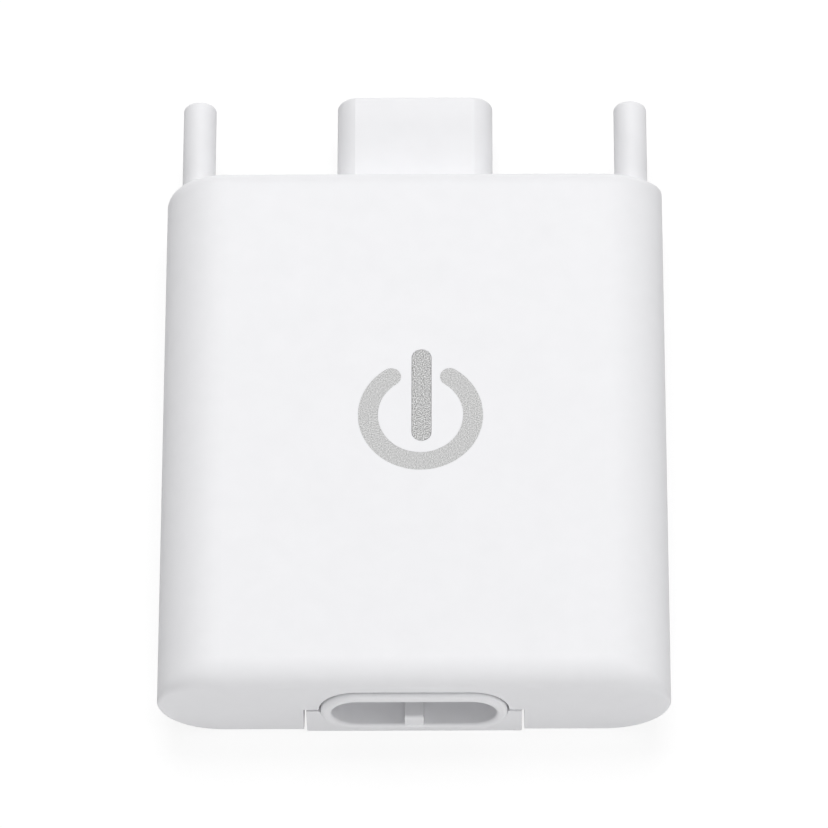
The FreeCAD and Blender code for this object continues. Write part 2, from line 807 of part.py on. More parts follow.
def snap_hooks(body):
    """Upright fingers with a barb, rooted in the curve of the back."""
    outer = "half_wide - hook_from_side"
    inner = outer + " - hook_thick"
    tip = outer + " + barb_reach"
    catch = "ledge_low + ledge_thick + hook_gap"
    top = catch + " + barb_high"
    finger = [(inner, "hook_root"), (outer, "hook_root"), (outer, catch), (tip, catch),
              (tip, catch + " + barb_tip"), (outer, top), (inner, top)]
    for start in ("- hook_place - hook_half", "hook_place - hook_half"):
        sketch = sketch_on(body, "XZ_Plane", start)
        both_sides(sketch, finger)
        pad(body, sketch, "hook_wide")


def board_pegs(body):
    """Pegs through the board, each on a shoulder that the board rests on."""
    for radius, top in (("post_radius", "board_low"), ("peg_radius", "board_top + peg_high")):
        sketch = sketch_on(body, "XY_Plane", "shell_wall")
        for across in ("- peg_side", "peg_side"):
            for along in ("- peg_place", "peg_place"):
                circle(sketch, across, along, radius)
        pad(body, sketch, top + " - shell_wall")


# Socket and plug

def ears(body, start):
    sketch = sketch_on(body, "XZ_Plane", start)
    low, high = "connector_height - ear_half_high", "connector_height + ear_half_high"
    rectangle(sketch, "- ear_half", "ear_half", low, high)
    pad(body, sketch, "ear_thick")


def contact_holes(body, start, radius, length):
    sketch = sketch_on(body, "XZ_Plane", start)
    circle(sketch, "- contact_side", "connector_height", radius)
    circle(sketch, "contact_side", "connector_height", radius)
    pocket(body, sketch, length)


def from_middle(point, side):
    """Distance from the line between the middles of two round ends."""
    return math.hypot(max(abs(point.x) - side, 0.0), point.z - number("connector_height"))


def socket_body():
    """A collar around a cavity for the mating plug, with a key rib on the cavity's floor."""
    mouth = "- half_long - collar_proud"
    body = new_body("socket_body")
    outside = sketch_on(body, "XZ_Plane", mouth)
    socket_outline(outside, "collar_radius")
    pad(body, outside, "cavity_deep + socket_back")
    ears(body, "- inner_long + shell_gap + ear_gap")
    cavity = sketch_on(body, "XZ_Plane", mouth)
    socket_outline(cavity, "cavity_radius")
    pocket(body, cavity, "cavity_deep")
    hole = "contact_radius + contact_gap"
    contact_holes(body, mouth + " + cavity_deep", hole, "socket_back")
    face, side = number(mouth), number("socket_side")
    middle = (number("collar_radius") + number("cavity_radius")) / 2

    def on_rim(point):
        return abs(point.y - face) < NEAR and from_middle(point, side) > middle

    def on_mouth(point):
        return abs(point.y - face) < NEAR and from_middle(point, side) < middle

    round_edges(body, "collar_round", on_rim)
    round_edges(body, "mouth_round", on_mouth)
    key_rib(body, mouth + " + key_setback")


def key_rib(body, front):
    """A rib from just behind the rounded mouth to the cavity's back, rounded at its front."""
    sketch = sketch_on(body, "XZ_Plane", front)
    floor = "connector_height - cavity_radius"
    rectangle(sketch, "- key_half", "key_half", floor + " - mouth_round", floor + " + key_high")
    pad(body, sketch, "cavity_deep - key_setback")
    edge, top = number(front), number(floor + " + key_high")
    round_edges(body, "key_round",
                lambda point: abs(point.y - edge) < NEAR and abs(point.z - top) < NEAR)


def plug_body():
    """The flat-sided plug, with a bore for each contact tube and a keyway underneath."""
    root = "half_long - plug_root"
    body = new_body("plug_body")
    outside = sketch_on(body, "XZ_Plane", root)
    plug_outline(outside, "0")
    pad(body, outside, "plug_root + plug_reach")
    ears(body, "inner_long - shell_gap - ear_gap - ear_thick")
    tube = "tube_radius + contact_gap"
    contact_holes(body, root, tube, "plug_root + plug_reach - tube_recess")
    contact_holes(body, "half_long + plug_reach - tube_recess", "entry_radius", "tube_recess")
    tip = number("half_long + plug_reach")
    edge = number("plug_half_thick")
    side = number("plug_half - plug_side_radius")

    def on_end(point):
        return abs(point.y - tip) < NEAR and from_middle(point, side) > edge - NEAR

    round_edges(body, "plug_edge_round", on_end)
    keyway = sketch_on(body, "XZ_Plane", "half_long")
    half = "key_half + key_gap"
    top = "connector_height - cavity_radius + key_high + key_gap"
    rectangle(keyway, minus(half), half, "0", top)
    pocket(body, keyway, "plug_reach")


def socket_contact(name, side):
    """A round pin with a shoulder against the socket's back and a tail on the board."""
    body = new_body(name)
    sketch = sketch_on(body, "XY_Plane")
    shoulder = "cavity_deep + socket_back - contact_recess"
    end = "half_long + collar_proud - contact_recess - board_half_long + tail_overlap"
    behind = shoulder + " + shoulder_thick"
    polygon(sketch, [("0", "0"), ("contact_radius - contact_nose", "0"),
                     ("contact_radius", "contact_nose"), ("contact_radius", shoulder),
                     ("shoulder_radius", shoulder), ("shoulder_radius", behind),
                     ("contact_radius", behind), ("contact_radius", end), ("0", end)])
    revolve(body, sketch)
    place(body, side, "- half_long - collar_proud + contact_recess", "connector_height")


def plug_contact(name, side):
    """A tube that takes a pin of the next socket, with a tail on the board."""
    body = new_body(name)
    sketch = sketch_on(body, "XY_Plane")
    shank = "plug_root + plug_reach - tube_recess"
    end = "half_long + plug_reach - tube_recess - board_half_long + tail_overlap"
    polygon(sketch, [("tube_bore", "0"), ("tube_radius", "0"), ("tube_radius", minus(shank)),
                     ("contact_radius", minus(shank)), ("contact_radius", minus(end)),
                     ("0", minus(end)), ("0", "- tube_deep"), ("tube_bore", "- tube_deep")])
    revolve(body, sketch)
    place(body, side, "half_long + plug_reach - tube_recess", "connector_height")


# Touch face

def ring_inlay():
    body = new_body("ring_inlay")
    sketch = sketch_on(body, "XY_Plane", "housing_thick - inlay_deep")
    symbol_ring(sketch)
    pad(body, sketch, "inlay_deep")


def light_guide():
    """The bar that lights up, a flange under the face and a stem down to the lamp."""
    body = new_body("light_guide")
    bar = sketch_on(body, "XY_Plane", "ceiling")
    symbol_bar(bar)
    pad(body, bar, "shell_wall")
    flange = sketch_on(body, "XY_Plane", "ceiling - flange_thick")
    symbol_bar(flange, "flange_margin")
    pad(body, flange, "flange_thick")
    foot = "board_top + lamp_high + lamp_gap"
    stem = sketch_on(body, "XY_Plane", foot)
    rectangle(stem, "bar_x - stem_half_wide", "bar_x + stem_half_wide",
              "bar_y - stem_half_long", "bar_y + stem_half_long")
    pad(body, stem, "ceiling - flange_thick " + minus_term(foot))


def touch_electrode():
    """A foil disc stuck under the touch face, open around the light guide."""
    body = new_body("touch_electrode")
    sketch = sketch_on(body, "XY_Plane", "ceiling - electrode_thick")
    circle(sketch, "symbol_x", "symbol_y", "electrode_radius")
    symbol_bar(sketch, "flange_margin + electrode_gap")
    pad(body, sketch, "electrode_thick")


def electrode_spring():
    """A bent strip between the board and the electrode."""
    body = new_body("electrode_spring")
    sketch = sketch_on(body, "XZ_Plane", "symbol_y - strip_half")
    foot, crown = "strip_left + strip_foot", "strip_left + strip_top"
    low, high = "board_top", "ceiling - electrode_thick"
    polygon(sketch, [("strip_left", low), (foot, low), (crown, high), ("strip_left", high),
                     ("strip_left", high + " - strip_thick"),
                     (crown + " - strip_arm", high + " - strip_thick"),
                     (foot + " - strip_arm", low + " + strip_thick"),
                     ("strip_left", low + " + strip_thick")])
    pad(body, sketch, "strip_wide")


# Circuit board and components

def circuit_board():
    body = new_body("circuit_board")
    sketch = sketch_on(body, "XY_Plane", "board_low")
    wide, long = "board_half_wide", "board_half_long"
    short, low = wide + " - board_corner", long + " - board_corner"
    polygon(sketch, [(short, long), (minus(short), long), (minus(wide), low),
                     (minus(wide), minus(low)), (minus(short), minus(long)),
                     (short, minus(long)), (wide, minus(low)), (wide, low)])
    for across in ("- peg_side", "peg_side"):
        for along in ("- peg_place", "peg_place"):
            circle(sketch, across, along, "peg_radius + peg_gap")
    pad(body, sketch, "board_thick")


def two_terminal_block(name, kind, across, along):
    """A block with a metal terminal at each end, such as a resistor or a capacitor."""
    body = new_body(name)
    half_long, half_wide = kind + "_half_long", kind + "_half_wide"
    core = sketch_on(body, "XY_Plane")
    rectangle(core, minus(half_long), half_long, minus(half_wide), half_wide)
    pad(body, core, kind + "_high")
    caps = sketch_on(body, "XY_Plane")
    inner, outer = half_long + " - " + kind + "_terminal", half_long + " + terminal_proud"
    edge = half_wide + " + terminal_proud"
    both_sides(caps, [(inner, minus(edge)), (outer, minus(edge)), (outer, edge), (inner, edge)])
    pad(body, caps, kind + "_high + terminal_proud")
    place(body, across, along, "board_top")
    return body


def indicator_lamp():
    body = two_terminal_block("indicator_led", "lamp", "bar_x", "bar_y")
    window = sketch_on(body, "XY_Plane", "lamp_high - lamp_window_deep")
    circle(window, "0", "0", "lamp_window")
    pocket(body, window, "lamp_window_deep")


def power_package(name, kind, legs, across, along):
    """A moulded package with flat legs on one side and a cooling tab on the other."""
    body = new_body(name)
    half_wide, half_long = kind + "_half_wide", kind + "_half_long"
    block = sketch_on(body, "XY_Plane")
    rectangle(block, minus(half_wide), half_wide, minus(half_long), half_long)
    pad(body, block, kind + "_high")
    metal = sketch_on(body, "XY_Plane")
    tab = half_wide + " - power_tab_inset"
    rectangle(metal, minus(tab), tab, half_long, half_long + " + power_tab_reach")
    for leg in legs:
        end = minus(half_long + " + power_leg_reach")
        rectangle(metal, leg + " - power_leg_half", leg + " + power_leg_half",
                  end, minus(half_long))
    pad(body, metal, "power_leg_thick")
    place(body, across, along, "board_top")


def touch_controller():
    """A chip with four gull-wing legs along each side."""
    body = new_body("touch_controller")
    block = sketch_on(body, "XY_Plane", "chip_standoff")
    rectangle(block, "- chip_half_wide", "chip_half_wide", "- chip_half_long", "chip_half_long")
    pad(body, block, "chip_high")
    leg = sketch_on(body, "XZ_Plane", "first_leg - leg_half")
    root, tip = "chip_half_wide - leg_thick", "chip_half_wide + leg_reach"
    knee = tip + " - leg_foot"
    high = "leg_shoulder"
    both_sides(leg, [(root, high), (knee, high), (knee, "0"), (tip, "0"), (tip, "leg_thick"),
                     (knee + " + leg_thick", "leg_thick"),
                     (knee + " + leg_thick", high + " + leg_thick"),
                     (root, high + " + leg_thick")])
    first = pad(body, leg, "leg_half + leg_half")
    row = body.newObject("PartDesign::LinearPattern", "leg_row")
    row.Originals = [first]
    along = [item for item in body.Origin.OriginFeatures if item.Role == "Y_Axis"][0]
    row.Direction = (along, [""])
    row.setExpression("Length", formula("leg_row"))
    row.Occurrences = int(number("leg_count"))
    body.Tip = row
    doc.recompute()
    place(body, "chip_x", "chip_y", "board_top")


def can_capacitor():
    """A round can with a crimped groove, on a base with two cut corners."""
    body = new_body("filter_capacitor")
    base = sketch_on(body, "XY_Plane")
    half, cut = "can_base_half", "can_base_half - can_base_corner"
    polygon(base, [(minus(half), minus(half)), (cut, minus(half)), (half, minus(cut)),
                   (half, cut), (cut, half), (minus(half), half)])
    pad(body, base, "can_base_high")
    can = sketch_on(body, "XZ_Plane")
    groove = "can_base_high + can_groove"
    waist = groove + " + can_groove"
    polygon(can, [("0", "can_base_high"), ("can_radius", "can_base_high"),
                  ("can_radius", groove), ("can_radius - can_groove", waist),
                  ("can_radius", waist + " + can_groove"), ("can_radius", "can_high - can_edge"),
                  ("can_radius - can_edge", "can_high"), ("0", "can_high")])
    revolve(body, can)
    place(body, "can_x", "can_y", "board_top")


def check_model(nodes):
    """Stops on a failed object, an invalid shape or a cut or pad that changed nothing."""
    for item in doc.Objects:
        if "Invalid" in item.State or "Error" in item.State:
            raise RuntimeError("%s failed: %s" % (item.Name, item.State))
        base = getattr(item, "BaseFeature", None)
        if base is None or item.isDerivedFrom("PartDesign::Body"):
            continue
        grown = item.Shape.Volume - base.Shape.Volume
        if item.isDerivedFrom("PartDesign::Pocket") and grown > -1e-6:
            raise RuntimeError("%s cuts nothing" % item.Name)
        if item.isDerivedFrom("PartDesign::Pad") and grown < 1e-6:
            raise RuntimeError("%s adds nothing" % item.Name)
    for node in nodes:
        if node.Shape.isNull() or not node.Shape.isValid():
            raise RuntimeError("%s has no valid shape" % node.Label)


def build():
    fill_sheet()
    form = housing_form()
    front_shell(form)
    back_cover(form)
    socket_body()
    plug_body()
    for hand, side in (("left", "- contact_side"), ("right", "contact_side")):
        socket_contact("socket_contact_" + hand, side)
        plug_contact("plug_contact_" + hand, side)
    ring_inlay()
    light_guide()
    touch_electrode()
    electrode_spring()
    circuit_board()
    indicator_lamp()
    touch_controller()
    power_package("power_transistor", "transistor", ["- chip_pitch", "chip_pitch"],
                  "transistor_x", "transistor_y")
    power_package("voltage_regulator", "regulator", ["- power_pitch", "0", "power_pitch"],
                  "regulator_x", "regulator_y")
    can_capacitor()
    two_terminal_block("reverse_diode", "diode", "diode_x", "diode_y")
    for name, kind in (("input_capacitor", "capacitor"), ("sensor_capacitor", "capacitor"),
                       ("lamp_resistor", "resistor"), ("gate_resistor", "resistor"),
                       ("sensor_resistor", "resistor")):
        two_terminal_block(name, kind, name + "_x", name + "_y")
    doc.recompute()
    nodes = [item for item in doc.Objects
             if item.isDerivedFrom("PartDesign::Body") and item.Label != "housing_form"]
    check_model(nodes)
    os.makedirs("parts", exist_ok=True)
    for node in nodes:
        node.Shape.exportStep("parts/%s.step" % node.Label)
    print("%d nodes written" % len(nodes))


build()
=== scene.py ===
"""Looks of the touch dimmer switch: materials, even end roundings, floor, lights and camera."""

import json
import math
import bmesh
import bpy
import numpy as np
from mathutils import Matrix, Vector


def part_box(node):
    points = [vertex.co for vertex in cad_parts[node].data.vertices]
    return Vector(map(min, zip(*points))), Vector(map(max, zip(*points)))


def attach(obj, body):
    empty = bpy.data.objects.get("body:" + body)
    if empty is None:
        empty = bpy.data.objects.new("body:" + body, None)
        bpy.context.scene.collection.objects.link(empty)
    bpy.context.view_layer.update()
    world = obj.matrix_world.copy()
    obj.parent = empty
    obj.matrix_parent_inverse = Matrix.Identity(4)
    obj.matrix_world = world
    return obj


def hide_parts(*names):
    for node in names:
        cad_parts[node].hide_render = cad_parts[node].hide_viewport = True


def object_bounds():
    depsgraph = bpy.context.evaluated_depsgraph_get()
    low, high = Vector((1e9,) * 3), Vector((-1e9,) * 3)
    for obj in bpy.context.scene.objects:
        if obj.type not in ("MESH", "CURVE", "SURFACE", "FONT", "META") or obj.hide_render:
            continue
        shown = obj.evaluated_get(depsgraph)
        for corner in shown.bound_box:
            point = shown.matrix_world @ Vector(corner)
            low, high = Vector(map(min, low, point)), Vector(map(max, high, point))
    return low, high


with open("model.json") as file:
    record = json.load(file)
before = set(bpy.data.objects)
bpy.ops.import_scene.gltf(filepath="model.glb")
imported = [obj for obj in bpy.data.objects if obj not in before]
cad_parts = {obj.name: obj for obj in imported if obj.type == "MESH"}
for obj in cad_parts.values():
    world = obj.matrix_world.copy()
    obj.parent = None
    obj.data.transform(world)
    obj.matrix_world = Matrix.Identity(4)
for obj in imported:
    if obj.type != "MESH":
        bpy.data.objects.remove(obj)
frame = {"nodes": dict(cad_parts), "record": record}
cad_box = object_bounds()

MM = 0.001
QUARTER = math.pi / 2


# Material helpers. Texture coordinates are object coordinates in metres.

EDGE_SAMPLES = 6


def new_material(name, colour, roughness, metallic=0.0, specular=0.5):
    """A material with one Principled shader; returns it with its node tree and shader."""
    material = bpy.data.materials.new(name)
    material.use_nodes = True
    tree = material.node_tree
    shader = tree.nodes["Principled BSDF"]
    shader.inputs["Base Color"].default_value = (*colour, 1.0)
    shader.inputs["Roughness"].default_value = roughness
    shader.inputs["Metallic"].default_value = metallic
    shader.inputs["Specular IOR Level"].default_value = specular
    return material, tree, shader


def noise(tree, size_mm, detail=2.0, stretch=(1.0, 1.0, 1.0)):
    """A noise texture with grains about size_mm across; stretch lengthens them along an axis."""
    coordinates = tree.nodes.new("ShaderNodeTexCoord")
    mapping = tree.nodes.new("ShaderNodeMapping")
    texture = tree.nodes.new("ShaderNodeTexNoise")
    mapping.inputs["Scale"].default_value = [1.0 / (size_mm * MM * s) for s in stretch]
    texture.inputs["Scale"].default_value = 1.0
    texture.inputs["Detail"].default_value = detail
    tree.links.new(coordinates.outputs["Object"], mapping.inputs["Vector"])
    tree.links.new(mapping.outputs["Vector"], texture.inputs["Vector"])
    return texture.outputs["Fac"]


def ramp(tree, value, start, end, low=0.3, high=0.7):
    """Maps value from low..high, which by default are a noise's usual range, to start..end.
    The result is held at both ends. start and end are colours or numbers."""
    node = tree.nodes.new("ShaderNodeValToRGB")
    stops = node.color_ramp.elements
    for stop, position, colour in zip(stops, (low, high), (start, end)):
        stop.position = position
        stop.color = (*colour, 1.0) if hasattr(colour, "__len__") else (colour, colour, colour, 1.0)
    tree.links.new(value, node.inputs["Fac"])
    return node.outputs["Color"]


def bump(tree, shader, height, depth_mm):
    """Adds a bump of depth_mm to whatever normal the shader already takes."""
    node = tree.nodes.new("ShaderNodeBump")
    node.inputs["Distance"].default_value = depth_mm * MM
    node.inputs["Strength"].default_value = 1.0
    tree.links.new(height, node.inputs["Height"])
    if shader.inputs["Normal"].is_linked:
        tree.links.new(shader.inputs["Normal"].links[0].from_socket, node.inputs["Normal"])
    tree.links.new(node.outputs["Normal"], shader.inputs["Normal"])


def soften_edges(tree, shader, radius_mm):
    """Rounds sharp edges in the shading alone, as a mould's tiny edge radius does."""
    node = tree.nodes.new("ShaderNodeBevel")
    node.samples = EDGE_SAMPLES
    node.inputs["Radius"].default_value = radius_mm * MM
    tree.links.new(node.outputs["Normal"], shader.inputs["Normal"])


def shade(colour, factor):
    return [c * factor for c in colour]


# Materials


def moulded_plastic(name, colour, roughness, grain_mm, depth_mm):
    """Fine matt moulding: eroded mould texture, a little mottling and softened edges."""
    material, tree, shader = new_material(name, colour, roughness, specular=0.35)
    soften_edges(tree, shader, radius_mm=0.09)
    blotches = noise(tree, size_mm=1.6, detail=4.0)
    mottle = ramp(tree, blotches, shade(colour, 0.992), shade(colour, 1.006))
    tree.links.new(mottle, shader.inputs["Base Color"])
    bump(tree, shader, noise(tree, grain_mm, detail=3.0), depth_mm)
    rough = ramp(tree, noise(tree, size_mm=3.0), roughness - 0.03, roughness + 0.03)
    tree.links.new(rough, shader.inputs["Roughness"])
    return material


def symbol_plastic(name, colour, grain_mm, contrast, roughness):
    """Grey symbol surface with fine grains, lighter and darker than its colour."""
    material, tree, shader = new_material(name, colour, roughness, specular=0.25)
    grains = noise(tree, grain_mm, detail=1.0)
    dark, pale = shade(colour, 1 - contrast), shade(colour, 1 + contrast)
    tree.links.new(ramp(tree, grains, dark, pale), shader.inputs["Base Color"])
    bump(tree, shader, grains, depth_mm=0.004)
    return material


def drawn_metal(name, colour, roughness):
    """Plated or drawn metal with fine marks along the part."""
    material, tree, shader = new_material(name, colour, roughness, metallic=1.0)
    marks = noise(tree, size_mm=0.06, stretch=(1.0, 14.0, 1.0))
    rough = ramp(tree, marks, roughness - 0.08, roughness + 0.1)
    tree.links.new(rough, shader.inputs["Roughness"])
    clouds = noise(tree, size_mm=1.2, detail=3.0)
    stain = ramp(tree, clouds, colour, shade(colour, 0.85), high=0.75)
    tree.links.new(stain, shader.inputs["Base Color"])
    bump(tree, shader, marks, depth_mm=0.002)
    return material


def solder_resist(name, colour, roughness, cells_per_metre):
    """Green resist over copper tracks that show as paler, slightly raised lines."""
    material, tree, shader = new_material(name, colour, roughness)
    coordinates = tree.nodes.new("ShaderNodeTexCoord")
    cells = tree.nodes.new("ShaderNodeTexVoronoi")
    cells.feature = "DISTANCE_TO_EDGE"
    cells.inputs["Scale"].default_value = cells_per_metre
    tree.links.new(coordinates.outputs["Object"], cells.inputs["Vector"])
    from_track = cells.outputs["Distance"]
    tracks = ramp(tree, from_track, shade(colour, 1.7), colour, low=0.05, high=0.07)
    tree.links.new(tracks, shader.inputs["Base Color"])
    raised = ramp(tree, from_track, 1.0, 0.0, low=0.05, high=0.08)
    bump(tree, shader, raised, depth_mm=0.035)
    return material


def moulding_compound(name, colour, roughness, grain_mm):
    """Dark chip or resistor body with a fine sandy surface."""
    material, tree, shader = new_material(name, colour, roughness)
    soften_edges(tree, shader, radius_mm=0.05)
    grains = noise(tree, grain_mm, detail=3.0)
    sand = ramp(tree, grains, shade(colour, 0.7), shade(colour, 1.35))
    tree.links.new(sand, shader.inputs["Base Color"])
    bump(tree, shader, grains, depth_mm=0.006)
    return material


WHITE = (0.880, 0.880, 0.898)

FINISHES = {
    "housing_white": (moulded_plastic, WHITE, dict(roughness=0.55, grain_mm=0.11, depth_mm=0.0035)),
    "connector_white": (moulded_plastic, WHITE, dict(roughness=0.48, grain_mm=0.14, depth_mm=0.002)),
    "symbol_grey": (symbol_plastic, (0.578,) * 3, dict(grain_mm=0.10, contrast=0.38, roughness=0.6)),
    "guide_grey": (symbol_plastic, (0.500,) * 3, dict(grain_mm=0.10, contrast=0.76, roughness=0.5)),
    "contact_tin": (drawn_metal, (0.75, 0.75, 0.74), dict(roughness=0.32)),
    "contact_brass": (drawn_metal, (0.80, 0.62, 0.30), dict(roughness=0.28)),
    "copper_foil": (drawn_metal, (0.80, 0.42, 0.26), dict(roughness=0.30)),
    "board_green": (solder_resist, (0.04, 0.20, 0.09), dict(roughness=0.35, cells_per_metre=260.0)),
    "lamp_white": (moulded_plastic, (0.85, 0.85, 0.82), dict(roughness=0.30, grain_mm=0.3, depth_mm=0.001)),
    "package_black": (moulding_compound, (0.030, 0.030, 0.035), dict(roughness=0.55, grain_mm=0.09)),
    "can_aluminium": (drawn_metal, (0.70, 0.70, 0.72), dict(roughness=0.26)),
    "ceramic_tan": (moulding_compound, (0.55, 0.42, 0.28), dict(roughness=0.5, grain_mm=0.12)),
    "resistor_black": (moulding_compound, (0.05, 0.05, 0.06), dict(roughness=0.35, grain_mm=0.2)),
}

MATERIALS = {name: make(name, colour, **values) for name, (make, colour, values) in FINISHES.items()}

for part in frame["record"]["subparts"]:
    node = frame["nodes"][part["node"]]
    node.data.materials.clear()
    node.data.materials.append(MATERIALS[part["material_slot"]])


# End roundings of the front shell. The solid's radius drifts along both ends. The piece made here
# keeps one radius across the touch face and runs into the solid's radius down each corner.

# The corner from touch face to side is a quarter of an ellipse of this width and height.
CORNER_WIDE, CORNER_HIGH = 5.6 * MM, 5.0 * MM
NEAR_ROUND, FAR_ROUND = 2.2 * MM, 1.9 * MM
# The solid's roundings are all narrower than this.
WIDEST_ROUND = 3.3 * MM
# The skin behind a rounding is stretched or pressed together up to this distance from the end.
SKIN_REACH = 4.5 * MM
# Edges longer than this are cut, in this many rounds.
LONGEST_STEP = 0.45 * MM
DIVISIONS = 2
# Steps of the search for the nearest point on the ellipse
FOOT_POINT_STEPS = 8
# Points that agree to this many decimals of a metre are one point.
SAME_PLACE_DECIMALS = 8
# On a rounding the normals lean more than this towards end wall and skin.
ROUNDING_LEAN = 0.04
# On a wall that cuts through a rounding they lean less than this towards end wall and skin.
WALL_TO_END, WALL_TO_SKIN = 0.3, 0.5
TINY = 0.01 * MM


def section(points, low, high):
    """Distances of points in from end wall and skin, their turn about the corner, and the
    directions out of end wall and skin. Each corner is a quarter of an ellipse."""
    x, y, z = points.T
    across = np.maximum(np.abs(x) - (high.x - CORNER_WIDE), 0)
    up = z - (high.z - CORNER_HIGH)
    turn = np.arctan2(across / CORNER_WIDE, np.maximum(up, 0) / CORNER_HIGH)
    for _ in range(FOOT_POINT_STEPS):
        sine, cosine = np.sin(turn), np.cos(turn)
        off_x, off_z = CORNER_WIDE * sine - across, CORNER_HIGH * cosine - up
        run_x, run_z = CORNER_WIDE * cosine, -CORNER_HIGH * sine
        slope = off_x * run_x + off_z * run_z
        curve = run_x**2 + run_z**2 - off_x * CORNER_WIDE * sine - off_z * CORNER_HIGH * cosine
        turn = np.clip(turn - slope / np.maximum(curve, TINY**2), 0, QUARTER)
    sine, cosine = np.sin(turn), np.cos(turn)
    out_x, out_z = CORNER_HIGH * sine, CORNER_WIDE * cosine
    length = np.hypot(out_x, out_z)
    out_x, out_z = out_x / length, out_z / length
    from_skin = (CORNER_WIDE * sine - across) * out_x + (CORNER_HIGH * cosine - up) * out_z
    from_skin = np.where(up < -TINY, CORNER_HIGH, from_skin)
    none = np.zeros(len(points))
    end_out = np.stack([none, np.sign(y), none], 1)
    skin_out = np.stack([out_x * np.sign(x), none, out_z], 1)
    return np.abs(low.y) - np.abs(y), from_skin, turn, end_out, skin_out


def radius_through(from_end, from_skin):
    """Radius of the arc, tangent to end wall and skin, that passes through each point."""
    a, b = np.maximum(from_end, 0), np.maximum(from_skin, 0)
    return a + b + np.sqrt(2 * a * b)


def step(edge):
    """An edge's length seen from the side, without its run along the end."""
    run = edge.verts[0].co - edge.verts[1].co
    return math.hypot(run.y, run.z)


def divided(points, triangles, radii, low, high):
    """Cuts the rounding's long inner edges and sets the new points on the rounding."""
    grid = bmesh.new()
    radius = grid.verts.layers.float.new("radius")
    corners = [grid.verts.new(point) for point in points]
    for corner, value in zip(corners, radii):
        corner[radius] = value
    for triangle in triangles:
        grid.faces.new([corners[i] for i in triangle])
    for _ in range(DIVISIONS):
        inner = [edge for edge in grid.edges if len(edge.link_faces) == 2]
        long_edges = [edge for edge in inner if step(edge) > LONGEST_STEP]
        bmesh.ops.subdivide_edges(grid, edges=long_edges, cuts=1)
        bmesh.ops.triangulate(grid, faces=grid.faces)
    grid.verts.index_update()
    points = np.array([vert.co for vert in grid.verts])
    radii = np.array([vert[radius] for vert in grid.verts])
    triangles = np.array([[vert.index for vert in face.verts] for face in grid.faces])
    grid.free()
    from_end, from_skin, _, end_out, skin_out = section(points, low, high)
    new = np.arange(len(points)) >= len(corners)
    inside = new & (from_end > TINY) & (from_skin > TINY)
    through = np.maximum(radius_through(from_end, from_skin), TINY)
    share = np.where(inside, 1 - radii / through, 0)[:, None]
    points += share * (from_end[:, None] * end_out + from_skin[:, None] * skin_out)
    return points, triangles, radii


def rounding_normals(points, radii, low, high):
    """Directions out of the rounding at its points."""
    from_end, from_skin, _, end_out, skin_out = section(points, low, high)
    normals = (
        np.clip(radii - from_end, 0, radii)[:, None] * end_out
        + np.clip(radii - from_skin, 0, radii)[:, None] * skin_out
    )
    return normals / np.maximum(np.linalg.norm(normals, axis=1), TINY**2)[:, None]


def eased(share):
    """A share from 0 to 1 that starts and ends slowly."""
    return share * share * (3 - 2 * share)


def sound(triangles):
    """Rows of the triangles to keep: none whose corners coincide, and no doubled or folded ones."""
    a, b, c = triangles.T
    turned = np.sign((b - a) * (c - b) * (a - c))
    _, group = np.unique(np.sort(triangles, axis=1), axis=0, return_inverse=True)
    group = group.ravel()
    balance = np.bincount(group, turned)[group]
    _, first = np.unique(2 * group + (turned > 0), return_index=True)
    return np.sort(first[(turned * balance)[first] > 0])


